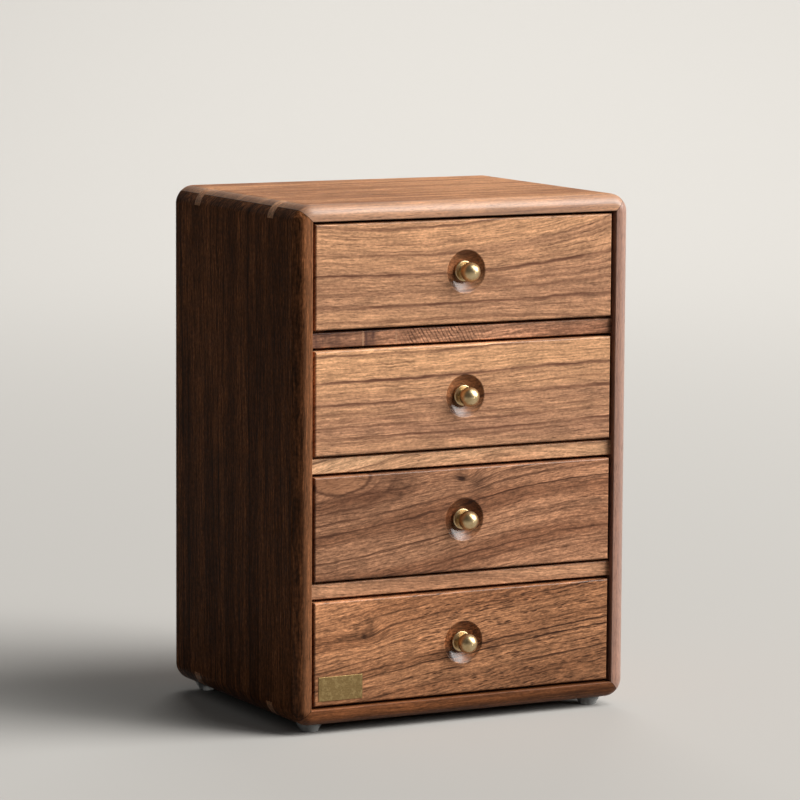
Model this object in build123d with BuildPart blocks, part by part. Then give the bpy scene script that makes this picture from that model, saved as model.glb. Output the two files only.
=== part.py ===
from build123d import *
import math
import os

os.makedirs("parts", exist_ok=True)

# A four drawer jewellery box in millimetres. The front faces -Y, X runs to the right
# and the feet stand on Z = 0. The origin lies under the middle of the whole object.

# Carcass of four mitred boards
carcass_width = 200.0
carcass_depth = 156.0
carcass_height = 275.0
board_thickness = 9.0
corner_round = 10.0
edge_round = 7.0
opening_arris = 0.6

# Light wood splines let in across the mitres
spline_thickness = 7.0
spline_reach = 9.0
spline_from_end = 33.0

# Back panel held in a groove
back_thickness = 5.0
back_inset = 8.0
back_groove_depth = 4.0
back_panel_gap = 0.3

# Dividers housed in the sides. Drawers and dividers are numbered from the top
drawer_count = 4
divider_thickness = 8.0
divider_setback = 3.5
divider_arris = 0.6
housing_depth = 4.0
housing_end_gap = 0.2

# Clear bumper feet
foot_height = 5.0
foot_top_diameter = 14.8
foot_bottom_diameter = 8.6
foot_arris = 0.8
foot_inset = 15.0

# Drawers
front_thickness = 12.0
front_setback = 1.3
front_side_gap = 2.0
front_top_gap = 1.5
front_bottom_gap = 1.5
front_arris = 1.0
front_lip = 5.0
drawer_side_thickness = 8.0
drawer_headroom = 10.0
drawer_back_thickness = 8.0
drawer_bottom_thickness = 4.0
drawer_bottom_lift = 5.0
drawer_groove_depth = 4.0
drawer_groove_gap = 0.2
drawer_top_arris = 1.0
runner_gap = 0.3
stop_gap = 0.3
liner_thickness = 1.5
liner_gap = 0.5

# Brass knob in a dish
dish_diameter = 23.2
dish_arris = 0.4
seat_depth = 3.4
seat_gap = 0.3
knob_flange_diameter = 11.2
knob_flange_thickness = 1.8
knob_flange_arris = 0.6
knob_neck_diameter = 6.2
knob_ball_diameter = 10.5
knob_ball_reach = 4.7

# Knob screw from inside the drawer
screw_diameter = 4.0
screw_length = 12.0
screw_head_diameter = 7.6
screw_head_height = 2.4
screw_head_arris = 0.7
screw_hole_gap = 0.2
screw_thread_gap = 0.05
screw_tip_gap = 0.6
counterbore_depth = 3.0
counterbore_gap = 0.4
cross_width = 1.1
cross_length = 4.4
cross_depth = 1.3

# Blank brass plate let into the lowest drawer
plate_width = 26.0
plate_height = 13.0
plate_thickness = 1.0
plate_pocket_depth = 0.7
plate_margin = 2.5
plate_arris = 0.2

# Places that follow from the sizes
knob_tip = knob_ball_reach + knob_ball_diameter / 2
knob_overhang = knob_tip - front_setback
front_y = knob_overhang - (carcass_depth + knob_overhang) / 2
back_y = front_y + carcass_depth
base_z = foot_height
top_z = base_z + carcass_height
inner_half = carcass_width / 2 - board_thickness
inner_floor = base_z + board_thickness
inner_ceiling = top_z - board_thickness
bay_height = (inner_ceiling - inner_floor - (drawer_count - 1) * divider_thickness) / drawer_count
bay_pitch = bay_height + divider_thickness

back_panel_rear = back_y - back_inset
back_panel_front = back_panel_rear - back_thickness

face_y = front_y + front_setback
front_rear = face_y + front_thickness
drawer_half = inner_half - front_side_gap
drawer_inner_half = drawer_half - drawer_side_thickness
drawer_rear = back_panel_front - stop_gap
drawer_back_front = drawer_rear - drawer_back_thickness
front_height = bay_height - front_top_gap - front_bottom_gap
drawer_side_height = bay_height - runner_gap - drawer_headroom

dish_radius = dish_diameter / 2
seat_radius = knob_flange_diameter / 2 + seat_gap
screw_seat = front_thickness - counterbore_depth
screw_tip = screw_seat - screw_length


def slab(x_from, x_to, y_from, y_to, z_from, z_to, mode=Mode.ADD):
    """Add or cut a square-edged board between two corners."""
    with Locations((x_from, y_from, z_from)):
        Box(x_to - x_from, y_to - y_from, z_to - z_from, align=Align.MIN, mode=mode)


def save(piece, label):
    """Name a finished piece and write its file."""
    piece.part.label = label
    export_step(piece.part, f"parts/{label}.step")


# The whole carcass as one rounded ring, from which the mitred boards are taken
rear_plane = Plane.XZ.offset(-back_y)
with BuildPart() as carcass_ring:
    with BuildSketch(rear_plane):
        with Locations((0, (base_z + top_z) / 2)):
            RectangleRounded(carcass_width, carcass_height, corner_round)
    extrude(amount=carcass_depth)
    outer_faces = carcass_ring.faces().sort_by(Axis.Y)
    fillet(outer_faces[0].edges() + outer_faces[-1].edges(), radius=edge_round)
    with BuildSketch(rear_plane):
        with Locations((0, (inner_floor + inner_ceiling) / 2)):
            Rectangle(2 * inner_half, inner_ceiling - inner_floor)
    extrude(amount=carcass_depth, mode=Mode.SUBTRACT)
    front_ring = carcass_ring.faces().sort_by(Axis.Y)[0]
    fillet(front_ring.inner_wires()[0].edges(), radius=opening_arris)

# Room for the splines: two triangles of light wood across each mitred corner
with BuildPart() as spline_room:
    for spline_y in (front_y + spline_from_end, back_y - spline_from_end):
        with BuildSketch(Plane.XZ.offset(-spline_y)):
            for along in (-1, 1):
                for corner_z, inward in ((base_z, 1), (top_z, -1)):
                    corner_x = along * carcass_width / 2
                    with BuildLine():
                        Polyline(
                            (corner_x, corner_z),
                            (corner_x - along * spline_reach, corner_z),
                            (corner_x, corner_z + inward * spline_reach),
                            close=True,
                        )
                    make_face()
        extrude(amount=spline_thickness / 2, both=True)

with BuildPart() as corner_splines:
    add(spline_room.part)
    with BuildSketch(rear_plane):
        with Locations((0, (base_z + top_z) / 2)):
            RectangleRounded(carcass_width, carcass_height, corner_round)
    extrude(amount=carcass_depth, mode=Mode.INTERSECT)
save(corner_splines, "corner_splines")

divider_floors = [inner_floor + n * bay_pitch - divider_thickness for n in range(1, drawer_count)]
housing_half = inner_half + housing_depth


def mitred_board(label, corners):
    """One board of the carcass, with its mitred ends, back groove, housings and spline slots."""
    with BuildPart() as piece:
        add(carcass_ring.part)
        with BuildSketch(rear_plane):
            with BuildLine():
                Polyline(*corners, close=True)
            make_face()
        extrude(amount=carcass_depth, mode=Mode.INTERSECT)
        add(spline_room.part, mode=Mode.SUBTRACT)
        slab(
            -inner_half - back_groove_depth,
            inner_half + back_groove_depth,
            back_panel_front,
            back_panel_rear,
            inner_floor - back_groove_depth,
            inner_ceiling + back_groove_depth,
            Mode.SUBTRACT,
        )
        for divider_z in divider_floors:
            slab(
                -housing_half,
                housing_half,
                front_y + divider_setback,
                back_panel_front,
                divider_z,
                divider_z + divider_thickness,
                Mode.SUBTRACT,
            )
    save(piece, label)


outer_half = carcass_width / 2
mitred_board(
    "left_side",
    [(-outer_half, base_z), (-inner_half, inner_floor), (-inner_half, inner_ceiling), (-outer_half, top_z)],
)
mitred_board(
    "right_side",
    [(outer_half, base_z), (inner_half, inner_floor), (inner_half, inner_ceiling), (outer_half, top_z)],
)
mitred_board(
    "top_panel",
    [(-outer_half, top_z), (-inner_half, inner_ceiling), (inner_half, inner_ceiling), (outer_half, top_z)],
)
mitred_board(
    "bottom_panel",
    [(-outer_half, base_z), (-inner_half, inner_floor), (inner_half, inner_floor), (outer_half, base_z)],
)

with BuildPart() as back_panel:
    panel_reach = back_groove_depth - back_panel_gap
    slab(
        -inner_half - panel_reach,
        inner_half + panel_reach,
        back_panel_front,
        back_panel_rear,
        inner_floor - panel_reach,
        inner_ceiling + panel_reach,
    )
save(back_panel, "back_panel")

for n, divider_z in enumerate(reversed(divider_floors), start=1):
    with BuildPart() as divider:
        slab(
            housing_end_gap - housing_half,
            housing_half - housing_end_gap,
            front_y + divider_setback,
            back_panel_front,
            divider_z,
            divider_z + divider_thickness,
        )
        divider_edge = divider.faces().sort_by(Axis.Y)[0]
        fillet(divider_edge.edges().filter_by(Axis.X), radius=divider_arris)
    save(divider, f"divider_{n}")

foot_x = carcass_width / 2 - foot_inset
foot_places = {
    "foot_front_left": (-foot_x, front_y + foot_inset),
    "foot_front_right": (foot_x, front_y + foot_inset),
    "foot_back_left": (-foot_x, back_y - foot_inset),
    "foot_back_right": (foot_x, back_y - foot_inset),
}
for foot_name, (x, y) in foot_places.items():
    with BuildPart() as foot:
        with BuildSketch(Plane((x, y, 0), x_dir=(1, 0, 0), z_dir=(0, -1, 0))) as foot_profile:
            with BuildLine():
                Polyline(
                    (0, 0),
                    (foot_bottom_diameter / 2, 0),
                    (foot_top_diameter / 2, foot_height),
                    (0, foot_height),
                    close=True,
                )
            make_face()
            rim = foot_profile.vertices().group_by(Axis.Y)[0].sort_by(Axis.X)[-1]
            fillet(rim, radius=foot_arris)
        revolve(axis=Axis((x, y, 0), (0, 0, 1)))
    save(foot, foot_name)


def drawer_front(n, bay_floor, knob_z, knob_plane, knob_axis):
    """Drawer front with side rabbets, a groove for the bottom and the dished seat for the knob."""
    front_floor = bay_floor + front_bottom_gap
    groove_floor = bay_floor + runner_gap + drawer_bottom_lift
    with BuildPart() as front:
        slab(-drawer_half, drawer_half, face_y, front_rear, front_floor, front_floor + front_height)
        fillet(front.faces().sort_by(Axis.Y)[0].edges(), radius=front_arris)
        for x_from, x_to in ((-drawer_half, -drawer_inner_half), (drawer_inner_half, drawer_half)):
            slab(
                x_from,
                x_to,
                face_y + front_lip,
                front_rear,
                front_floor,
                bay_floor + runner_gap + drawer_side_height,
                Mode.SUBTRACT,
            )
        slab(
            -drawer_inner_half,
            drawer_inner_half,
            front_rear - drawer_groove_depth,
            front_rear,
            groove_floor,
            groove_floor + drawer_bottom_thickness,
            Mode.SUBTRACT,
        )
        # The dish is part of a sphere that meets the flat knob seat
        ball_u = (seat_depth**2 + seat_radius**2 - dish_radius**2) / (2 * seat_depth)
        ball_radius = math.hypot(ball_u, dish_radius)
        rim_angle = math.atan2(dish_radius, -ball_u)
        seat_angle = math.atan2(seat_radius, seat_depth - ball_u)
        middle_angle = (rim_angle + seat_angle) / 2
        with BuildSketch(knob_plane):
            with BuildLine():
                ThreePointArc(
                    (0, dish_radius),
                    (ball_u + ball_radius * math.cos(middle_angle), ball_radius * math.sin(middle_angle)),
                    (seat_depth, seat_radius),
                )
                Polyline((seat_depth, seat_radius), (seat_depth, 0), (0, 0), (0, dish_radius))
            make_face()
        revolve(axis=knob_axis, mode=Mode.SUBTRACT)
        dish_rim = front.faces().sort_by(Axis.Y)[0].inner_wires()[0].edges()
        fillet(dish_rim, radius=dish_arris)
        with Locations(Plane((0, front_rear, knob_z), x_dir=(1, 0, 0), z_dir=(0, 1, 0))):
            CounterBoreHole(
                radius=screw_diameter / 2 + screw_hole_gap,
                counter_bore_radius=screw_head_diameter / 2 + counterbore_gap,
                counter_bore_depth=counterbore_depth,
                depth=front_thickness,
            )
        if n == drawer_count:
            plate_x = plate_margin - drawer_half
            plate_z = front_floor + plate_margin
            slab(
                plate_x,
                plate_x + plate_width,
                face_y,
                face_y + plate_pocket_depth,
                plate_z,
                plate_z + plate_height,
                Mode.SUBTRACT,
            )
    save(front, f"drawer_{n}_front")


def drawer_box(n, bay_floor):
    """The two sides, the back, the bottom and the felt liner of one drawer."""
    side_floor = bay_floor + runner_gap
    side_top = side_floor + drawer_side_height
    groove_floor = side_floor + drawer_bottom_lift
    groove_top = groove_floor + drawer_bottom_thickness
    groove_half = drawer_inner_half + drawer_groove_depth
    groove_front = front_rear - drawer_groove_depth
    groove_rear = drawer_back_front + drawer_groove_depth

    for side_name, x_from, x_to in (
        ("left", -drawer_half, -drawer_inner_half),
        ("right", drawer_inner_half, drawer_half),
    ):
        with BuildPart() as side:
            slab(x_from, x_to, face_y + front_lip, drawer_rear, side_floor, side_top)
            top_edges = side.faces().sort_by(Axis.Z)[-1].edges().filter_by(Axis.Y)
            fillet(top_edges, radius=drawer_top_arris)
            slab(-groove_half, groove_half, groove_front, groove_rear, groove_floor, groove_top, Mode.SUBTRACT)
        save(side, f"drawer_{n}_{side_name}_side")

    with BuildPart() as back:
        slab(-drawer_inner_half, drawer_inner_half, drawer_back_front, drawer_rear, side_floor, side_top)
        top_edges = back.faces().sort_by(Axis.Z)[-1].edges().filter_by(Axis.X)
        fillet(top_edges, radius=drawer_top_arris)
        slab(-groove_half, groove_half, groove_front, groove_rear, groove_floor, groove_top, Mode.SUBTRACT)
    save(back, f"drawer_{n}_back")

    with BuildPart() as bottom:
        slab(
            drawer_groove_gap - groove_half,
            groove_half - drawer_groove_gap,
            groove_front + drawer_groove_gap,
            groove_rear - drawer_groove_gap,
            groove_floor,
            groove_top,
        )
    save(bottom, f"drawer_{n}_bottom")

    with BuildPart() as liner:
        slab(
            liner_gap - drawer_inner_half,
            drawer_inner_half - liner_gap,
            front_rear + liner_gap,
            drawer_back_front - liner_gap,
            groove_top,
            groove_top + liner_thickness,
        )
    save(liner, f"drawer_{n}_liner")


def drawer_knob(n, knob_plane, knob_axis):
    """Turned knob: a flange on the dish's seat, a neck and a ball, bored for its screw."""
    flange_front = seat_depth - knob_flange_thickness
    flange_radius = knob_flange_diameter / 2
    neck_radius = knob_neck_diameter / 2
    ball_radius = knob_ball_diameter / 2
    neck_end = math.sqrt(ball_radius**2 - neck_radius**2) - knob_ball_reach
    ball_shoulder = (-knob_ball_reach, ball_radius)
    bore_end = screw_tip - screw_tip_gap
    bore_radius = screw_diameter / 2 + screw_thread_gap
    with BuildPart() as knob:
        with BuildSketch(knob_plane):
            with BuildLine():
                Polyline(
                    (-knob_tip, 0),
                    (seat_depth, 0),
                    (seat_depth, flange_radius),
                    (flange_front + knob_flange_arris, flange_radius),
                )
                ThreePointArc(
                    (flange_front + knob_flange_arris, flange_radius),
                    (
                        flange_front + knob_flange_arris * (1 - math.sqrt(0.5)),
                        flange_radius - knob_flange_arris * (1 - math.sqrt(0.5)),
                    ),
                    (flange_front, flange_radius - knob_flange_arris),
                )
                Polyline(
                    (flange_front, flange_radius - knob_flange_arris),
                    (flange_front, neck_radius),
                    (neck_end, neck_radius),
                )
                ThreePointArc((neck_end, neck_radius), ball_shoulder, (-knob_tip, 0))
            make_face()
            with BuildLine():
                Polyline(
                    (bore_end, 0),
                    (seat_depth, 0),
                    (seat_depth, bore_radius),
                    (bore_end, bore_radius),
                    close=True,
                )
            make_face(mode=Mode.SUBTRACT)
        revolve(axis=knob_axis)
    save(knob, f"drawer_{n}_knob")


def drawer_screw(n, knob_z, knob_plane, knob_axis):
    """Round-headed screw with a cross recess, from the inside of the drawer front into the knob."""
    head_end = screw_seat + screw_head_height
    head_radius = screw_head_diameter / 2
    head_y = face_y + head_end
    with BuildPart() as screw:
        with BuildSketch(knob_plane):
            with BuildLine():
                Polyline(
                    (screw_tip, 0),
                    (screw_tip, screw_diameter / 2),
                    (screw_seat, screw_diameter / 2),
                    (screw_seat, head_radius),
                    (head_end - screw_head_arris, head_radius),
                    (head_end, head_radius - screw_head_arris),
                    (head_end, 0),
                    close=True,
                )
            make_face()
        revolve(axis=knob_axis)
        for half_width, half_height in ((cross_length / 2, cross_width / 2), (cross_width / 2, cross_length / 2)):
            slab(
                -half_width,
                half_width,
                head_y - cross_depth,
                head_y,
                knob_z - half_height,
                knob_z + half_height,
                Mode.SUBTRACT,
            )
    save(screw, f"drawer_{n}_screw")


for n in range(1, drawer_count + 1):
    bay_floor = inner_floor + (drawer_count - n) * bay_pitch
    knob_z = bay_floor + front_bottom_gap + front_height / 2
    knob_plane = Plane((0, face_y, knob_z), x_dir=(0, 1, 0), z_dir=(1, 0, 0))
    knob_axis = Axis((0, face_y, knob_z), (0, 1, 0))
    drawer_front(n, bay_floor, knob_z, knob_plane, knob_axis)
    drawer_box(n, bay_floor)
    drawer_knob(n, knob_plane, knob_axis)
    drawer_screw(n, knob_z, knob_plane, knob_axis)

with BuildPart() as plate:
    plate_left = plate_margin - drawer_half
    plate_floor = inner_floor + front_bottom_gap + plate_margin
    plate_rear = face_y + plate_pocket_depth
    slab(
        plate_left,
        plate_left + plate_width,
        plate_rear - plate_thickness,
        plate_rear,
        plate_floor,
        plate_floor + plate_height,
    )
    chamfer(plate.faces().sort_by(Axis.Y)[0].edges(), length=plate_arris)
save(plate, f"drawer_{drawer_count}_plate")
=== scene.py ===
import math
import random
from dataclasses import dataclass
from typing import Callable

import bmesh
import bpy
from mathutils import Matrix, Vector, noise


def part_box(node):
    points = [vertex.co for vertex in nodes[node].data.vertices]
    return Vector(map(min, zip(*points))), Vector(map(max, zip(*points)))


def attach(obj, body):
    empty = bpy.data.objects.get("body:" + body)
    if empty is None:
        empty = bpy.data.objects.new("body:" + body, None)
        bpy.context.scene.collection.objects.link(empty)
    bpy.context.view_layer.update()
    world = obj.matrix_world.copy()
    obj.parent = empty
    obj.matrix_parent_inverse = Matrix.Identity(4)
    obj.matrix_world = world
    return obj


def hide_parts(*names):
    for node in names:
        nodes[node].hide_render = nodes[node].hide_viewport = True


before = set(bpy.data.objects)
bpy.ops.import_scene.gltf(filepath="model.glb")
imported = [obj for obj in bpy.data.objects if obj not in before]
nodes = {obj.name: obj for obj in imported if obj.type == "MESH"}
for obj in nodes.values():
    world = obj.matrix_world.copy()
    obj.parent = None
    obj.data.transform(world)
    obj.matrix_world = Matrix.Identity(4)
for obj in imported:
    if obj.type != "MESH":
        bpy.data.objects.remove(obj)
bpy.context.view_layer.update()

MM = 1000.0  # millimetres in a metre


def srgb(r, g, b):
    """A colour written in 0-255 screen values, as linear RGBA."""
    out = []
    for c in (r, g, b):
        c /= 255.0
        out.append(c / 12.92 if c <= 0.04045 else ((c + 0.055) / 1.055) ** 2.4)
    return (*out, 1.0)


def shaded(colour, factor):
    return (*(factor * c for c in colour[:3]), 1.0)


class Tree:
    """A material's node tree. A value is a socket or a plain number or colour."""

    def __init__(self, name):
        self.material = bpy.data.materials.new(name)
        self.material.use_nodes = True
        self.nodes = self.material.node_tree.nodes
        self.links = self.material.node_tree.links
        self.shader = self.nodes["Principled BSDF"]

    def put(self, socket, value):
        if isinstance(value, bpy.types.NodeSocket):
            self.links.new(value, socket)
        elif value is not None:
            socket.default_value = value

    def math(self, op, a, b=None):
        n = self.nodes.new("ShaderNodeMath")
        n.operation = op
        self.put(n.inputs[0], a)
        self.put(n.inputs[1], b)
        return n.outputs[0]

    def add(self, a, b):
        return self.math("ADD", a, b)

    def sub(self, a, b):
        return self.math("SUBTRACT", a, b)

    def mul(self, a, b):
        return self.math("MULTIPLY", a, b)

    def div(self, a, b):
        return self.math("DIVIDE", a, b)

    def biggest(self, a, b):
        return self.math("MAXIMUM", a, b)

    def size(self, a):
        return self.math("ABSOLUTE", a)

    def length(self, a, b):
        return self.math("SQRT", self.add(self.mul(a, a), self.mul(b, b)))

    def xyz(self, x, y, z):
        n = self.nodes.new("ShaderNodeCombineXYZ")
        for socket, value in zip(n.inputs, (x, y, z)):
            self.put(socket, value)
        return n.outputs[0]

    def split(self, vector):
        n = self.nodes.new("ShaderNodeSeparateXYZ")
        self.put(n.inputs[0], vector)
        return n.outputs[0], n.outputs[1], n.outputs[2]

    def place(self):
        """Object coordinates in millimetres, as three sockets."""
        coord = self.nodes.new("ShaderNodeTexCoord")
        scale = self.nodes.new("ShaderNodeVectorMath")
        scale.operation = "SCALE"
        scale.inputs["Scale"].default_value = MM
        self.links.new(coord.outputs["Object"], scale.inputs[0])
        return self.split(scale.outputs[0])

    def noise(self, vector, detail=2.0, rough=0.5):
        n = self.nodes.new("ShaderNodeTexNoise")
        self.put(n.inputs["Vector"], vector)
        n.inputs["Scale"].default_value = 1.0
        n.inputs["Detail"].default_value = detail
        n.inputs["Roughness"].default_value = rough
        return n.outputs["Fac"]

    def cloud(self, place, rate, detail=4.0, rough=0.6):
        """Noise that is the same in all directions; the rate is per millimetre."""
        x, y, z = place
        vector = self.xyz(self.mul(x, rate), self.mul(y, rate), self.mul(z, rate))
        return self.noise(vector, detail, rough)

    def cells(self, vector):
        n = self.nodes.new("ShaderNodeTexVoronoi")
        self.put(n.inputs["Vector"], vector)
        n.inputs["Scale"].default_value = 1.0
        return n.outputs["Distance"], n.outputs["Color"]

    def ramp(self, value, stops):
        """A smooth curve through (position, shade) stops."""
        n = self.nodes.new("ShaderNodeValToRGB")
        n.color_ramp.interpolation = "EASE"
        elements = n.color_ramp.elements
        while len(elements) < len(stops):
            elements.new(0.5)
        for element, (position, shade) in zip(elements, stops):
            element.position = position
            element.color = (shade, shade, shade, 1.0)
        self.put(n.inputs[0], value)
        return n.outputs[0]

    def span(self, value, low, high, to_low=0.0, to_high=1.0, smooth=True):
        """Map low..high to to_low..to_high, held at both ends."""
        n = self.nodes.new("ShaderNodeMapRange")
        n.interpolation_type = "SMOOTHSTEP" if smooth else "LINEAR"
        self.put(n.inputs["Value"], value)
        self.put(n.inputs["From Min"], low)
        self.put(n.inputs["From Max"], high)
        self.put(n.inputs["To Min"], to_low)
        self.put(n.inputs["To Max"], to_high)
        return n.outputs[0]

    def mix(self, fac, a, b, blend="MIX"):
        n = self.nodes.new("ShaderNodeMix")
        n.data_type = "RGBA"
        n.blend_type = blend
        first, second, result = n.inputs[6], n.inputs[7], n.outputs[2]  # the colour sockets
        self.put(n.inputs[0], fac)
        self.put(first, a)
        self.put(second, b)
        return result

    def times(self, colour, factor):
        return self.mix(1.0, colour, self.xyz(factor, factor, factor), "MULTIPLY")

    def bump(self, height, strength, distance):
        n = self.nodes.new("ShaderNodeBump")
        n.inputs["Strength"].default_value = strength
        n.inputs["Distance"].default_value = distance
        self.put(n.inputs["Height"], height)
        self.links.new(n.outputs[0], self.shader.inputs["Normal"])

    def set(self, **values):
        """Set the shader's inputs by name, with _ for a space."""
        for name, value in values.items():
            self.put(self.shader.inputs[name.replace("_", " ")], value)


@dataclass
class Board:
    """How one board is cut. Lengths are millimetres from the board's centre."""

    grain: str  # the axes along the grain, across the board and through it
    centre: tuple  # in the order of grain
    light: tuple  # the paler ground
    mid: tuple  # the darker ground
    dark: tuple  # lines, flecks and pores
    seed: float
    streaks: tuple = ()  # growth lines: place across the board, strength
    width: float = 1.0  # of the growth lines
    bands: tuple = ()  # broad tones: place across the board, 0 light to 1 mid
    reach: float = 45.0  # streaks and bands lie between -reach and reach
    bend: tuple = (0.02, 0.0, 0.0)  # slope of the grain, and its change along the board
    fan: float = 0.0  # how much more the grain bends towards the top, for each millimetre
    lean: float = 0.5  # slope of the growth layers through the board
    wander: float = 6.0  # slow waves along the grain
    curl: float = 1.4  # short waves along the grain
    fray: float = 1.0  # of the growth lines
    line: float = 1.0  # strength of the growth lines
    pore: float = 0.6  # strength of the pores
    fleck: float = 0.25  # strength of the flecks
    coarse: tuple = (1.0, 1.0)  # share of flecks at the two ends
    drift: tuple = (1.0, 1.0, 1.0, 1.0)  # shade at the left, right, bottom and top
    swirls: tuple = ()  # along, across, two sizes, lift of the grain
    knots: tuple = ()  # along, across, two sizes, depth of the stain
    fine: float = 0.85  # fibres across each millimetre
    stretch: float = 16.0  # length of a fibre over its width
    contrast: float = 1.15  # of the fibres
    rough: float = 0.56  # of the flat faces
    sheen: float = 0.14  # specular level of the flat faces
    polish: float = 0.4  # coat on the rounded edges
    polish_rough: float = 0.26
    seams: tuple = ()  # mitre planes: normal and distance
    dish: float = 0.0  # radius of the turned dish
    figure: Callable = None  # paints what only this board has


MOST_STREAKS = 10  # with three stops each they fill a colour ramp
STREAK_SPACING = (4.5, 11.5)
STREAK_STRENGTH = (0.25, 1.0)


def seeded_streaks(seed, reach):
    """Growth lines at uneven spacing, the same on every run."""
    dice = random.Random(seed)
    last_place = reach - 2
    streaks = []
    place = -reach
    while len(streaks) < MOST_STREAKS:
        place += dice.uniform(*STREAK_SPACING)
        if place > last_place:
            break
        streaks.append((place, dice.uniform(*STREAK_STRENGTH)))
    return streaks


# Noise in the wood: waves per millimetre along and across the grain, and a shift that keeps each apart
SLOW_WANDER = (0.009, 0.02, 0.0)
QUICK_WANDER = (0.035, 0.11, 7.3)
CURL = (0.09, 0.05, 27.0)
PATCHES = (0.018, 0.06, 11.0)
FRAYING = (0.075, 0.9, 3.1)
RIPPLE = (0.45, 0.8, 21.0)
MOTTLE = (0.05, 0.13, 17.0)
PIGMENT = (0.006, 0.075, 13.0)
THIN_LINES = (0.008, 0.75, 5.0)
FLECK_ROWS = (0.012, 0.20, 33.0)
FIBRE_SHIFT = 2.0

# Strokes in the wood, written the same way
LONG_PORES = (0.13, 1.25, 0.0)
SHORT_PORES = (0.32, 1.6, 9.0)
LONG_FLECKS = (0.085, 0.70, 31.0)
SHORT_FLECKS = (0.16, 1.0, 41.0)

# A growth line's cross section in millimetres, and the shade between lines
LINE_RISE = 1.9
LINE_FALL = 0.8
LINE_REST = 0.04

# How fibres, pores and rubbing change the roughness
FIBRE_GLOSS = 0.12
PORE_GLOSS = 0.20
RUBBED_GLOSS = 0.12

# Painted shade: the colour inside each knob's dish is multiplied by this, so the recess reads darker
DISH_PAINTED_SHADE = (0.51, 0.39, 0.31, 1.0)


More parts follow.
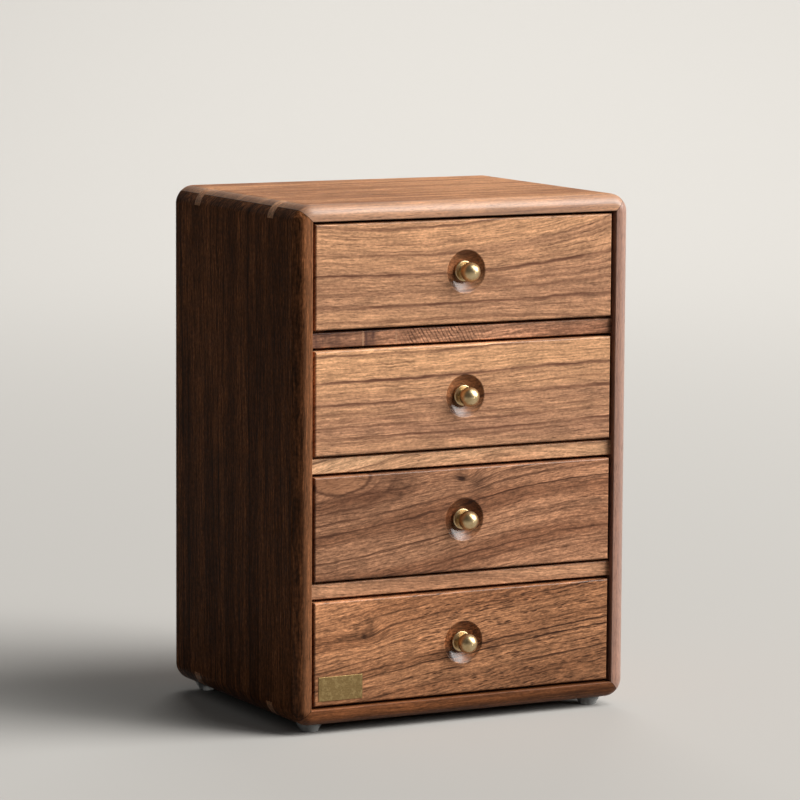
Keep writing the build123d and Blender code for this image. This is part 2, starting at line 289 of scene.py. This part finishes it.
class Walnut(Tree):
    """Oiled walnut as a solid: growth lines, pigment bands, fibres and open pores."""

    def __init__(self, name, board):
        super().__init__(name)
        self.board = board
        self.axes = dict(zip("xyz", self.place()))
        self.along, self.across, self.through = (
            self.sub(self.axes[axis], middle) for axis, middle in zip(board.grain, board.centre)
        )
        self.w = self.across  # the place across the growth layers, once the grain is bent
        self.bend_grain()
        self.patch = self.field(*PATCHES)
        fibre_rates = (board.fine / board.stretch, board.fine, FIBRE_SHIFT)
        self.fibre = self.field(*fibre_rates, detail=4.0, rough=0.75)
        self.lines = self.growth_lines()
        self.pores = self.open_pores()
        tone = self.ground()
        tone = self.marks(tone)
        self.finish(tone)

    def field(self, per_along, per_across, shift, detail=2.0, rough=0.5):
        """Noise stretched along the grain; the rates are per millimetre."""
        return self.noise(self.grid(per_along, per_across, shift), detail, rough)

    def grid(self, per_along, per_across, shift):
        along = self.add(self.mul(self.along, per_along), self.board.seed + shift)
        return self.xyz(along, self.mul(self.w, per_across), self.mul(self.through, per_across))

    def spot(self, along, across, size_along, size_across):
        """A soft round bump, 1 in its middle."""
        a = self.div(self.sub(self.along, along), size_along)
        b = self.div(self.sub(self.across, across), size_across)
        far = self.add(self.mul(a, a), self.mul(b, b))
        return self.math("EXPONENT", self.mul(far, -1.0))

    def bend_grain(self):
        """Shift the place across the board, so that the grain bends, swirls and wanders."""
        board = self.board
        first, second, third = board.bend
        slope = self.add(second, self.mul(self.along, third))
        slope = self.add(first, self.mul(self.along, slope))
        rise = self.mul(self.along, slope)
        rise = self.mul(rise, self.add(1.0, self.mul(self.across, board.fan)))
        w = self.sub(self.across, rise)
        w = self.add(w, self.mul(self.through, board.lean))
        for *where, lift in board.swirls:
            w = self.add(w, self.mul(self.spot(*where), lift))
        slow = self.sub(self.field(*SLOW_WANDER), 0.5)
        quick = self.sub(self.field(*QUICK_WANDER), 0.5)
        curl = self.sub(self.field(*CURL), 0.5)
        w = self.add(w, self.mul(slow, board.wander))
        w = self.add(w, self.mul(quick, 0.35 * board.wander))
        self.w = self.add(w, self.mul(curl, board.curl))

    def share(self, place):
        """Where a place lies between -reach and reach, from 0 to 1."""
        reach = self.board.reach
        return self.div(self.add(place, reach), 2 * reach)

    def stop(self, place, shade):
        """A stop of a ramp that runs from -reach to reach."""
        reach = self.board.reach
        return (place + reach) / (2 * reach), shade

    def growth_lines(self):
        """Lines across the board: each one darkens slowly, then stops sharply."""
        board = self.board
        stops = [(0.0, LINE_REST)]
        for centre, strength in sorted(board.streaks or seeded_streaks(board.seed, board.reach)):
            for offset, shade in ((-LINE_RISE, LINE_REST), (0.0, strength), (LINE_FALL, LINE_REST)):
                stops.append(self.stop(centre + offset * board.width, shade))
        stops.append((1.0, LINE_REST))
        fray = self.sub(self.field(*FRAYING), 0.5)
        place = self.share(self.add(self.w, self.mul(fray, 2 * board.fray)))
        lines = self.ramp(self.math("PINGPONG", place, 1.0), stops)
        return self.mul(lines, self.span(self.patch, 0.36, 0.60, 0.45, 1.0))

    def dashes(self, rates, size, sparse, gain=1.0):
        """Strokes along the grain, in some of the cells of a stretched grid."""
        far, tone = self.cells(self.grid(*rates))
        kept = self.span(self.mul(tone, gain), sparse, sparse + 0.26)
        return self.mul(self.span(far, size, 0.3 * size), kept)

    def open_pores(self):
        """Long pores, fewer in some patches, and short ones between them."""
        long = self.dashes(LONG_PORES, size=0.44, sparse=0.40)
        long = self.mul(long, self.span(self.patch, 0.34, 0.62, 1.0, 0.4))
        short = self.dashes(SHORT_PORES, size=0.40, sparse=0.32)
        return self.biggest(long, self.mul(short, 0.6))

    def shading(self):
        """Light and dark at the scale of fibres, and slowly over the board."""
        left, right, bottom, top = self.board.drift
        ripple = self.field(*RIPPLE, rough=0.6)
        mottle = self.field(*MOTTLE)
        shade = self.span(self.fibre, 0.30, 0.70, 0.52, 1.46, smooth=False)
        shade = self.mul(shade, self.span(ripple, 0.32, 0.68, 0.82, 1.18, smooth=False))
        shade = self.math("POWER", shade, self.board.contrast)
        shade = self.mul(shade, self.span(mottle, 0.34, 0.66, 0.90, 1.10))
        shade = self.mul(shade, self.span(self.along, -80.0, 80.0, left, right))
        return self.mul(shade, self.span(self.across, -26.0, 26.0, bottom, top))

    def ground(self):
        """The board's own colour, before its marks."""
        board = self.board
        pigment = self.field(*PIGMENT, detail=1.0)
        if board.bands:
            stops = [self.stop(where, shade) for where, shade in board.bands]
            pigment = self.mul(self.sub(pigment, 0.5), 1.4)
            pigment = self.add(pigment, self.ramp(self.share(self.w), stops))
            tone = self.mix(self.span(pigment, 0.0, 1.0, smooth=False), board.light, board.mid)
        else:
            tone = self.mix(self.span(pigment, 0.36, 0.64), board.light, board.mid)
        thin = self.field(*THIN_LINES, detail=3.0, rough=0.7)
        tone = self.mix(self.mul(self.span(thin, 0.46, 0.70), 0.42 * board.line), tone, board.dark)
        return self.times(tone, self.shading())

    def flecks(self):
        """Dark strokes in rows; the two ends of a board can have more or fewer."""
        gain = self.span(self.along, -60.0, 60.0, *self.board.coarse)
        long = self.mul(self.dashes(LONG_FLECKS, size=0.46, sparse=0.34, gain=gain), 0.75)
        short = self.dashes(SHORT_FLECKS, size=0.46, sparse=0.30, gain=gain)
        rows = self.span(self.field(*FLECK_ROWS), 0.38, 0.56, 0.25, 1.0)
        return self.mul(self.biggest(long, short), rows)

    def marks(self, tone):
        """Growth lines, flecks, figure, knots, pores and the seams of the mitres."""
        board = self.board
        tone = self.mix(self.mul(self.lines, board.line), tone, board.dark)
        tone = self.mix(self.mul(self.flecks(), board.fleck), tone, board.dark)
        if board.figure:
            tone = board.figure(self, tone)
        for *where, depth in board.knots:
            stain = self.span(self.fibre, 0.30, 0.65, depth, 0.6 * depth)
            tone = self.mix(self.mul(self.spot(*where), stain), tone, shaded(board.dark, 0.55))
        tone = self.mix(self.mul(self.pores, board.pore), tone, shaded(board.dark, 0.5))
        for seam in board.seams:
            far = self.sub(self.plane(seam[:3]), seam[3])
            glue = self.span(self.size(far), 0.30, 0.05, 0.0, 0.75)
            tone = self.mix(glue, tone, shaded(board.dark, 0.25))
        return tone

    def plane(self, normal):
        """How far a point lies from the origin along a normal."""
        x, y, z = (self.mul(self.axes[axis], part) for axis, part in zip("xyz", normal))
        return self.add(self.add(x, y), z)

    def rounded(self):
        """1 where a face is not square to an axis: the rounded edges and the dish."""
        normal = self.nodes.new("ShaderNodeNewGeometry").outputs["True Normal"]
        x, y, z = (self.size(part) for part in self.split(normal))
        return self.span(self.biggest(self.biggest(x, y), z), 0.998, 0.95)

    def finish(self, tone):
        """Matt oil on the flat faces, with the rounded edges and the dish burnished, the dish most on its
        lower half. The dish's colour is darkened as painted shade.
        """
        board = self.board
        gloss = self.add(board.rough - FIBRE_GLOSS / 2, self.mul(self.fibre, FIBRE_GLOSS))
        gloss = self.add(gloss, self.mul(self.pores, PORE_GLOSS))
        rounded = self.rounded()
        gloss = self.sub(gloss, self.mul(rounded, RUBBED_GLOSS))
        coat = self.mul(rounded, board.polish)
        if board.dish:
            radius = self.length(self.along, self.across)
            inside = self.span(radius, board.dish + 0.2, board.dish - 0.3)
            inside = self.mul(inside, self.span(self.through, 0.1, 0.45))
            # painted shade: the inside of the dish is darkened
            tone = self.mix(inside, tone, self.mix(1.0, tone, DISH_PAINTED_SHADE, "MULTIPLY"))
            coat = self.mix(inside, coat, self.span(self.across, 1.0, -5.0, 0.1, 0.9))
        self.set(Base_Color=tone, Roughness=gloss, IOR=1.5, Specular_IOR_Level=board.sheen)
        self.set(Coat_Weight=coat, Coat_Roughness=board.polish_rough, Coat_IOR=1.5)
        height = self.sub(self.sub(self.mul(self.fibre, 0.35), self.pores), self.mul(self.lines, 0.15))
        self.bump(height, strength=0.40, distance=0.0002)


def place_camera():
    """The camera fitted to the drawer corners, the opening and the outlines of the photograph."""
    right = Vector((0.88555363, -0.46449967, 0.00590176))
    up = Vector((0.05338074, 0.11437266, 0.99200272))
    back = Vector((-0.46145994, -0.87815656, 0.12607846))
    place = Vector((-1.06624, -2.02701, 0.45612))
    data = bpy.data.cameras.new("camera")
    data.sensor_width = 36.0
    data.lens = 190.482
    data.clip_end = 50.0
    camera = bpy.data.objects.new("camera", data)
    turn = Matrix((right, up, back)).transposed()
    camera.matrix_world = Matrix.Translation(place) @ turn.to_4x4()
    bpy.context.scene.collection.objects.link(camera)
    bpy.context.scene.camera = camera


# Sizes read from the frame, in millimetres
side_low, side_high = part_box("left_side")
front_y = side_low.y * MM
back_y = side_high.y * MM
half = -side_low.x * MM
top_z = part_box("top_panel")[1].z * MM
base_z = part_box("bottom_panel")[0].z * MM
middle_z = (top_z + base_z) / 2
DRAWERS = (1, 2, 3, 4)
fronts = {n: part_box(f"drawer_{n}_front") for n in DRAWERS}
face_y = fronts[1][0].y * MM
knob_z = {n: (low.z + high.z) / 2 * MM for n, (low, high) in fronts.items()}
pitch = knob_z[1] - knob_z[2]
DISH_RADIUS = 11.6

# The mitres meet along these planes
slant = math.sqrt(0.5)
top_left = (slant, 0, slant, (top_z - half) * slant)
top_right = (-slant, 0, slant, (top_z - half) * slant)
bottom_left = (slant, 0, -slant, (-base_z - half) * slant)
bottom_right = (-slant, 0, -slant, (-base_z - half) * slant)

HONEY = srgb(174, 123, 88)
BROWN = srgb(170, 119, 86)
UMBER = srgb(138, 93, 66)
GREY_BROWN = srgb(100, 62, 46)
DEEP = srgb(74, 44, 30)


def rail_figure(t, tone):
    """Dark cross-grained patches, pale glue lines and slanting strokes at the left of the upper rail."""
    along = t.along
    glue_lines = ((-60.0, 0.5), (-40.4, 0.35))  # place along the rail, strength
    glue_colour = srgb(206, 164, 130)
    patch_colour = srgb(96, 66, 56)
    stroke_rate, stroke_slant, stroke_jitter = 2.8, 1.7, 8.0
    cloud = t.noise(t.xyz(t.mul(along, 0.30), t.mul(t.across, 0.10), 0.0), detail=3.0)
    outer = t.mul(t.span(along, -59.0, -61.0), t.span(along, -62.0, -84.0, 0.35, 0.95))
    inner = t.mul(t.span(along, -60.0, -58.5), t.span(along, -50.0, -54.0))
    patch = t.mul(t.biggest(outer, inner), t.span(cloud, 0.3, 0.65, 0.35, 0.95))
    tone = t.mix(patch, tone, patch_colour)
    phase = t.add(t.mul(along, stroke_rate), t.mul(t.across, stroke_slant))
    strokes = t.span(t.math("SINE", t.add(phase, t.mul(cloud, stroke_jitter))), -0.1, 1.0)
    zone = t.mul(t.span(along, -42.0, -31.0), t.span(along, 26.0, -4.0))
    strokes = t.mul(t.mul(strokes, zone), t.span(cloud, 0.35, 0.65, 0.35, 0.85))
    tone = t.mix(strokes, tone, t.board.dark)
    for place, strength in glue_lines:
        glue = t.span(t.size(t.sub(along, place)), 0.6, 0.2, 0.0, strength)
        tone = t.mix(glue, tone, glue_colour)
    return tone


def eye_figure(t, tone):
    """A pale oval with a brown outline, cut by the top edge, and a clouded patch round it."""
    dark = t.board.dark
    eye_along, eye_across = -75.0, 29.0
    eye_length, eye_height = 19.0, 11.0
    rings = (  # place as a share of the oval, width, strength
        (1.0, 0.10, 0.75), (1.35, 0.07, 0.35), (0.55, 0.08, 0.30), (1.8, 0.10, 0.30), (2.3, 0.10, 0.25),
    )
    cloud = t.noise(t.xyz(t.mul(t.along, 0.06), t.mul(t.across, 0.10), 3.0), detail=3.0)
    off_along = t.div(t.sub(t.along, eye_along), eye_length)
    off_across = t.div(t.sub(t.across, eye_across), eye_height)
    far = t.length(off_along, off_across)
    far = t.add(far, t.mul(t.sub(cloud, 0.5), 0.5))
    haze = t.mul(t.span(far, 3.0, 1.2), t.span(cloud, 0.35, 0.65, 0.1, 0.55))
    tone = t.mix(haze, tone, shaded(dark, 1.6))
    tone = t.mix(t.span(far, 1.1, 0.9, 0.0, 0.45), tone, srgb(186, 132, 96))
    for ring, width, strength in rings:
        tone = t.mix(t.span(t.size(t.sub(far, ring)), width, 0.0, 0.0, strength), tone, dark)
    return tone


def painted_edge_highlight(width, strength, colour, lift=0.0):
    """A painted highlight along a board's front edge: paler there towards the colour, and brighter by the
    lift.
    """

    def figure(t, tone):
        near = t.span(t.axes["y"], front_y + width, front_y + 0.1 * width)
        tone = t.mix(t.mul(near, strength), tone, colour)
        return t.times(tone, t.add(1.0, t.mul(near, lift)))

    return figure


def front_board(n, **cut):
    """A drawer front: grain from left to right, with its dish in the middle."""
    return Board(grain="xzy", centre=(0, knob_z[n], face_y), dish=DISH_RADIUS, **cut)


def rail_board(n, **cut):
    """A divider, of which the front edge shows as a rail."""
    low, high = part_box(f"divider_{n}")
    return Board(grain="xzy", centre=(0, (low.z + high.z) / 2 * MM, front_y), **cut)


BOARDS = {
    "drawer_1_front": front_board(
        1, light=srgb(224, 169, 126), mid=srgb(181, 133, 103), dark=GREY_BROWN, seed=1.7,
        bend=(0.028, 0.00037, 0.0), fan=0.055, wander=3.0,
        bands=(
            (-45, 0.5), (-22, 0.45), (-16, 0.8), (-8, 0.6), (1, 0.6),
            (8, 0.4), (12, 0.5), (15, 0.1), (24, 0.0), (45, 0.4),
        ),
        streaks=(
            (25.5, 0.7), (11.0, 0.6), (6.5, 0.25), (0.5, 1.0), (-3.5, 0.35),
            (-6.0, 0.5), (-9.5, 0.55), (-15.8, 1.0), (-24.0, 0.5),
        ),
    ),
    "drawer_2_front": front_board(
        2, light=srgb(229, 174, 129), mid=srgb(186, 137, 106), dark=GREY_BROWN, seed=12.6,
        bend=(0.022, 0.00012, 0.0), wander=3.0, drift=(1.06, 0.97, 1.0, 1.0),
        bands=(
            (-45, 0.8), (-20, 0.8), (-8, 0.75), (0, 0.75), (5, 0.35),
            (10, 0.35), (12, 0.55), (15, 0.0), (24, 0.0), (45, 0.5),
        ),
        streaks=(
            (26.0, 0.8), (12.2, 1.0), (5.0, 0.4), (0.0, 0.9), (-5.0, 0.5),
            (-8.5, 0.45), (-12.0, 0.6), (-18.0, 1.0), (-20.5, 0.6),
        ),
    ),
    "drawer_3_front": front_board(
        3, light=srgb(198, 144, 109), mid=srgb(155, 106, 77), dark=srgb(74, 43, 29), seed=23.9,
        bend=(0.18, -0.0002, -6e-6), width=0.6, wander=3.0, line=1.25, fleck=0.5, fine=1.2,
        stretch=10.0, contrast=1.35, drift=(0.80, 1.08, 0.98, 1.0),
        streaks=(
            (20.5, 0.75), (18.6, 0.4), (15.0, 0.7), (9.0, 0.9), (4.0, 0.4),
            (-5.0, 0.9), (-7.5, 0.6), (-12.5, 0.5), (-19.0, 0.7), (-23.5, 0.5),
        ),
        swirls=((-75.0, 27.0, 30.0, 12.0, -5.0), (3.0, 22.0, 10.0, 7.0, 4.0)),
        knots=((-2.0, 22.0, 3.4, 2.0, 1.6), (9.0, 19.0, 6.5, 6.0, 0.8), (-38.0, 21.0, 9.0, 8.0, 0.55)),
        figure=eye_figure,
    ),
    "drawer_4_front": front_board(
        4, light=srgb(200, 141, 100), mid=srgb(165, 112, 77), dark=srgb(56, 30, 17), seed=31.4,
        bend=(0.13, -0.0002, 0.0), width=0.55, wander=3.5, line=1.3, pore=0.7, fleck=1.0, fine=1.1,
        stretch=9.0, contrast=1.5, coarse=(0.5, 1.7), drift=(1.05, 0.87, 0.84, 1.08),
        streaks=(
            (25.0, 0.6), (19.0, 0.7), (14.0, 0.5), (9.5, 0.6), (3.0, 0.7),
            (-2.5, 0.9), (-6.0, 0.9), (-12.0, 0.5), (-17.5, 0.8), (-24.0, 0.4),
        ),
        swirls=((-60.0, 8.0, 14.0, 7.0, 3.2),),
        knots=((-59.5, 8.0, 2.0, 1.8, 1.2), (-68.0, 8.0, 8.0, 1.4, 0.7), (-56.0, 12.0, 3.0, 9.0, 0.5)),
    ),
    "top_panel": Board(
        grain="xyz", centre=(0, 0, top_z), light=srgb(195, 141, 100), mid=srgb(159, 110, 76),
        dark=GREY_BROWN, seed=41.0, bend=(0.05, 0.0, 0.0), lean=1.2, rough=0.6, sheen=0.08,
        polish=0.9, polish_rough=0.40,
        # The front edge carries a painted highlight.
        figure=painted_edge_highlight(9.0, 0.28, srgb(232, 194, 170)), seams=(top_left, top_right),
    ),
    # Painted shade: the bottom's colours are darker than the other boards', for the shade along the
    # underside of the box.
    "bottom_panel": Board(
        grain="xyz", centre=(0, 0, base_z), light=srgb(142, 88, 54), mid=srgb(110, 67, 40),
        dark=srgb(60, 35, 22), seed=52.5, lean=1.2, sheen=0.1, polish=0.1, seams=(bottom_left, bottom_right),
    ),
    # Painted shade: the left side's colours are darker than the right side's, and its drift darkens it
    # towards the bottom. Its front edge carries a painted highlight.
    "left_side": Board(
        grain="zyx", centre=(middle_z, 0, -half), light=srgb(152, 96, 60), mid=srgb(110, 67, 40),
        dark=srgb(40, 21, 10), seed=63.1, lean=1.5, rough=0.5, sheen=0.02, polish=0.12,
        contrast=2.2, line=1.2, fleck=0.4, drift=(0.82, 1.03, 1.0, 1.0),
        figure=painted_edge_highlight(1.2, 0.18, srgb(186, 134, 100), lift=0.35), seams=(top_left, bottom_left),
    ),
    "right_side": Board(
        grain="zyx", centre=(middle_z, 0, half), light=srgb(152, 105, 77), mid=srgb(124, 83, 59),
        dark=DEEP, seed=71.8, lean=-1.5, polish=0.9, polish_rough=0.42,
        # The front edge carries a painted sheen.
        figure=painted_edge_highlight(8.0, 0.4, srgb(190, 158, 148)), seams=(top_right, bottom_right),
    ),
    "divider_1": rail_board(
        1, light=srgb(214, 158, 123), mid=srgb(172, 120, 91), dark=DEEP, seed=82.6,
        bend=(0.05, 0.0, 0.0), contrast=1.7, figure=rail_figure,
    ),
    "divider_2": rail_board(
        2, light=srgb(250, 197, 152), mid=srgb(214, 160, 121), dark=DEEP, seed=93.3,
        bend=(0.09, -0.0008, 0.0), wander=9.0,
    ),
    "divider_3": rail_board(
        3, light=srgb(219, 163, 124), mid=srgb(193, 140, 105), dark=DEEP, seed=17.5,
        bend=(-0.04, 0.0, 0.0), wander=8.0,
    ),
    "back_panel": Board(
        grain="zxy", centre=(middle_z, 0, back_y), light=BROWN, mid=UMBER, dark=DEEP, seed=27.2,
        bend=(0.03, 0.0003, 0.0), wander=14.0,
    ),
    "corner_splines": Board(
        grain="xyz", centre=(0, 0, middle_z), light=srgb(234, 176, 130), mid=srgb(212, 152, 110),
        dark=srgb(160, 104, 70), seed=65.0, line=0.5, pore=0.4, wander=3.0,
    ),
}


def inner_board(name, grain, centre, seed):
    """Plainer walnut for the boards of a drawer box."""
    board = Board(
        grain=grain, centre=centre, light=HONEY, mid=BROWN, dark=DEEP, seed=seed, line=0.7, rough=0.55
    )
    return Walnut(name, board).material


def turned_brass():
    """Satin brass with lathe marks round each knob's axis."""
    t = Tree("turned_brass")
    place = t.place()
    x, y, z = place
    cloud = t.cloud(place, 0.25)
    stain = t.cloud(place, 0.9, detail=5.0, rough=0.7)
    height = t.math("WRAP", t.sub(z, knob_z[4]), pitch / 2)  # over the nearest knob's axis
    lower_end = height.node.inputs[2]
    lower_end.default_value = -pitch / 2
    marks = t.noise(t.xyz(t.mul(t.length(x, height), 6.0), t.mul(y, 6.0), 0.0), detail=3.0, rough=0.7)
    tone = t.mix(t.span(cloud, 0.3, 0.7), srgb(184, 158, 116), srgb(212, 190, 150))
    tone = t.mix(t.span(stain, 0.60, 0.80, 0.0, 0.35), tone, srgb(132, 104, 60))
    t.set(Base_Color=tone, Metallic=1.0)
    t.set(Roughness=t.add(0.26, t.add(t.mul(marks, 0.12), t.mul(cloud, 0.06))))
    t.bump(t.add(marks, t.mul(stain, 0.3)), strength=0.10, distance=0.00008)
    return t.material


def aged_brass():
    """Dull plate brass: brushed, darkened in patches and rubbed brighter between them."""
    t = Tree("aged_brass")
    place = t.place()
    x, _, z = place
    cloud = t.cloud(place, 0.45)
    stain = t.cloud(place, 1.1, detail=5.0, rough=0.7)
    marks = t.noise(t.xyz(t.mul(x, 0.12), 0.0, t.mul(z, 4.0)), detail=4.0, rough=0.7)
    tone = t.mix(t.span(marks, 0.3, 0.7), srgb(128, 106, 68), srgb(152, 128, 86))
    tone = t.mix(t.span(cloud, 0.48, 0.66, 0.0, 0.6), tone, srgb(176, 154, 108))
    tone = t.mix(t.span(stain, 0.50, 0.72, 0.0, 0.7), tone, srgb(92, 76, 46))
    t.set(Base_Color=tone, Metallic=1.0)
    t.set(Roughness=t.add(0.34, t.add(t.mul(marks, 0.12), t.mul(stain, 0.14))))
    t.bump(t.add(marks, t.mul(stain, 0.8)), strength=0.20, distance=0.0001)
    return t.material


def zinc_steel():
    """Zinc-plated steel, slightly clouded, for the screws."""
    t = Tree("zinc_plated_steel")
    cloud = t.cloud(t.place(), 0.8, rough=0.5)
    t.set(Base_Color=t.mix(t.span(cloud, 0.3, 0.7), srgb(168, 168, 160), srgb(198, 198, 192)))
    t.set(Metallic=1.0, Roughness=t.add(0.26, t.mul(cloud, 0.2)))
    t.bump(cloud, strength=0.1, distance=0.00005)
    return t.material


def clear_silicone():
    """Hazy clear silicone for the feet."""
    t = Tree("clear_silicone")
    haze = t.cloud(t.place(), 0.5, detail=3.0, rough=0.5)
    t.set(Base_Color=t.mix(t.span(haze, 0.3, 0.7), srgb(236, 240, 240), srgb(248, 250, 250)))
    t.set(Roughness=t.add(0.10, t.mul(haze, 0.14)), Transmission_Weight=0.40, IOR=1.41)
    t.bump(haze, strength=0.12, distance=0.0002)
    return t.material


def felt():
    """Charcoal felt: a fine nap, brushed lighter in broad patches."""
    t = Tree("felt")
    place = t.place()
    x, y, z = place
    nap = t.cloud(place, 3.2, detail=5.0, rough=0.7)
    tuft = t.cloud(place, 0.7, detail=3.0)
    brushed = t.noise(t.xyz(t.mul(x, 0.03), t.mul(y, 0.05), z), detail=3.0)
    tone = t.mix(t.span(nap, 0.25, 0.75), srgb(48, 42, 40), srgb(80, 72, 68))
    tone = t.mix(t.span(tuft, 0.38, 0.62, 0.6, 0.0), tone, srgb(38, 33, 31))
    tone = t.mix(t.span(brushed, 0.4, 0.7, 0.0, 0.4), tone, srgb(92, 84, 80))
    t.set(Base_Color=tone, Roughness=0.95, Sheen_Weight=0.5, Sheen_Roughness=0.5)
    t.bump(nap, strength=0.6, distance=0.0004)
    return t.material


def dress(node, material):
    """Give a CAD node its material."""
    nodes[node].data.materials.clear()
    nodes[node].data.materials.append(material)


def dress_carcass():
    for node, board in BOARDS.items():
        dress(node, Walnut(f"walnut_{node}", board).material)
    silicone = clear_silicone()
    for place in ("front_left", "front_right", "back_left", "back_right"):
        dress(f"foot_{place}", silicone)


def dress_drawers():
    sides = inner_board("drawer_side_wood", grain="yzx", centre=(0, middle_z, 0), seed=35.0)
    backs = inner_board("drawer_back_wood", grain="xzy", centre=(0, middle_z, 60), seed=45.0)
    bottoms = inner_board("drawer_bottom_wood", grain="xyz", centre=(0, 0, middle_z), seed=55.0)
    knobs = turned_brass()
    screws = zinc_steel()
    for n in DRAWERS:
        dress(f"drawer_{n}_left_side", sides)
        dress(f"drawer_{n}_right_side", sides)
        dress(f"drawer_{n}_back", backs)
        dress(f"drawer_{n}_bottom", bottoms)
        dress(f"drawer_{n}_knob", knobs)
        dress(f"drawer_{n}_screw", screws)
    dress("drawer_4_plate", aged_brass())


FELT_COLUMNS, FELT_ROWS = 54, 40  # squares of the felt's mesh


def felt_points(mesh, low, high, seed):
    """The upper side of the felt: a grid with slight waves, lower along its edge."""
    thick = high.z - low.z
    edge = 0.0012
    wave_rate, wave_height = 22, 0.00018
    level, edge_drop = 0.86, 0.45  # as shares of the thickness
    grid = {}
    for i in range(FELT_COLUMNS + 1):
        for j in range(FELT_ROWS + 1):
            x = low.x + (high.x - low.x) * i / FELT_COLUMNS
            y = low.y + (high.y - low.y) * j / FELT_ROWS
            inset = min(x - low.x, high.x - x, y - low.y, high.y - y)
            wave = noise.noise(Vector((x * wave_rate, y * wave_rate, seed))) * wave_height
            drop = max(0.0, 1.0 - inset / edge) ** 2 * thick * edge_drop
            grid[i, j] = mesh.verts.new((x, y, low.z + thick * level + wave - drop))
    return grid


def felt_rim(grid):
    """The outer points of the grid, in order round the sheet."""
    front = [grid[i, 0] for i in range(FELT_COLUMNS)]
    right = [grid[FELT_COLUMNS, j] for j in range(FELT_ROWS)]
    back = [grid[i, FELT_ROWS] for i in range(FELT_COLUMNS, 0, -1)]
    left = [grid[0, j] for j in range(FELT_ROWS, 0, -1)]
    return front + right + back + left


def felt_mesh(name, low, high, seed):
    """A thin sheet with soft edges and slight waves, closed underneath."""
    mesh = bmesh.new()
    grid = felt_points(mesh, low, high, seed)
    for i in range(FELT_COLUMNS):
        for j in range(FELT_ROWS):
            mesh.faces.new((grid[i, j], grid[i + 1, j], grid[i + 1, j + 1], grid[i, j + 1]))
    rim = felt_rim(grid)
    under = [mesh.verts.new((v.co.x, v.co.y, low.z)) for v in rim]
    for k in range(len(rim)):
        after = (k + 1) % len(rim)
        mesh.faces.new((rim[after], rim[k], under[k], under[after]))
    mesh.faces.new(under[::-1])
    bmesh.ops.recalc_face_normals(mesh, faces=mesh.faces)
    return to_object(name, mesh)


def to_object(name, mesh):
    """A smooth-shaded object in the scene, made from a bmesh."""
    data = bpy.data.meshes.new(name)
    mesh.to_mesh(data)
    mesh.free()
    for face in data.polygons:
        face.use_smooth = True
    obj = bpy.data.objects.new(name, data)
    bpy.context.scene.collection.objects.link(obj)
    return obj


def felt_liner(n, material):
    """The felt laid on a drawer's bottom, in the place of its CAD solid."""
    low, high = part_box(f"drawer_{n}_liner")
    piece = felt_mesh(f"felt_liner_{n}", low, high, seed=n * 3.7)
    piece.data.materials.append(material)
    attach(piece, f"drawer_{n}")
    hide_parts(f"drawer_{n}_liner")


def paper():
    """Pale paper: seen pale, but throwing little light back on the object."""
    dim = (0.08, 0.079, 0.077, 1.0)
    pale = (0.48, 0.475, 0.462, 1.0)
    t = Tree("paper")
    rays = t.nodes.new("ShaderNodeLightPath").outputs
    seen = t.biggest(rays["Is Camera Ray"], rays["Is Glossy Ray"])
    seen = t.biggest(seen, rays["Is Transmission Ray"])
    t.set(Base_Color=t.mix(seen, dim, pale))
    t.set(Roughness=0.9, Specular_IOR_Level=0.0)
    return t.material


def studio_floor():
    """A pale floor that curves up into a backdrop, square to the camera."""
    near, flat, curve, height, half_width = -5.0, 2.2, 1.2, 5.0, 6.0
    steps = 12
    turn = math.radians(-27.7)
    profile = [(near, 0.0), (flat, 0.0)]
    for step in range(1, steps + 1):
        angle = math.radians(90 * step / steps)
        profile.append((flat + curve * math.sin(angle), curve * (1 - math.cos(angle))))
    profile.append((flat + curve, height))
    mesh = bmesh.new()
    left, right = ([mesh.verts.new((x, y, z)) for y, z in profile] for x in (-half_width, half_width))
    for k in range(len(profile) - 1):
        mesh.faces.new((left[k], right[k], right[k + 1], left[k + 1]))
    floor = to_object("floor", mesh)
    floor.rotation_euler = (0, 0, turn)
    floor.data.materials.append(paper())


LAMP_COLOUR = (1.0, 0.97, 0.93)
WORLD_COLOUR = (1.0, 0.98, 0.95, 1.0)
WORLD_STRENGTH = 0.10


def softbox(name, place, aim, size, power, glossy=True):
    """A rectangular lamp; one that is not glossy shows in no reflection and through no clear piece."""
    data = bpy.data.lights.new(name, "AREA")
    data.shape = "RECTANGLE"
    data.size, data.size_y = size
    data.energy = power
    data.color = LAMP_COLOUR
    lamp = bpy.data.objects.new(name, data)
    lamp.location = place
    lamp.rotation_euler = (Vector(aim) - Vector(place)).to_track_quat("-Z", "Y").to_euler()
    lamp.visible_glossy = glossy
    lamp.visible_transmission = glossy
    bpy.context.scene.collection.objects.link(lamp)


def light_studio():
    """A large softbox at the right, one above, a matt one behind and a little light all round."""
    softbox("key", place=(6.96, -4.56, 4.72), aim=(0.0, -0.05, 0.16), size=(6.75, 6.3), power=1226.0)
    softbox("top", place=(2.70, -2.81, 5.14), aim=(0.0, 0.0, 0.2), size=(3.4, 4.9), power=267.0)
    softbox(
        "back", place=(1.30, 2.70, 1.70), aim=(0.0, 0.0, 0.14), size=(1.6, 1.2), power=38.0, glossy=False
    )
    world = bpy.data.worlds.new("studio")
    world.use_nodes = True
    background = world.node_tree.nodes["Background"]
    background.inputs["Color"].default_value = WORLD_COLOUR
    background.inputs["Strength"].default_value = WORLD_STRENGTH
    bpy.context.scene.world = world


place_camera()
dress_carcass()
dress_drawers()
liner_felt = felt()
for n in DRAWERS:
    felt_liner(n, liner_felt)
studio_floor()
light_studio()
bpy.context.scene.view_settings.view_transform = "Standard"
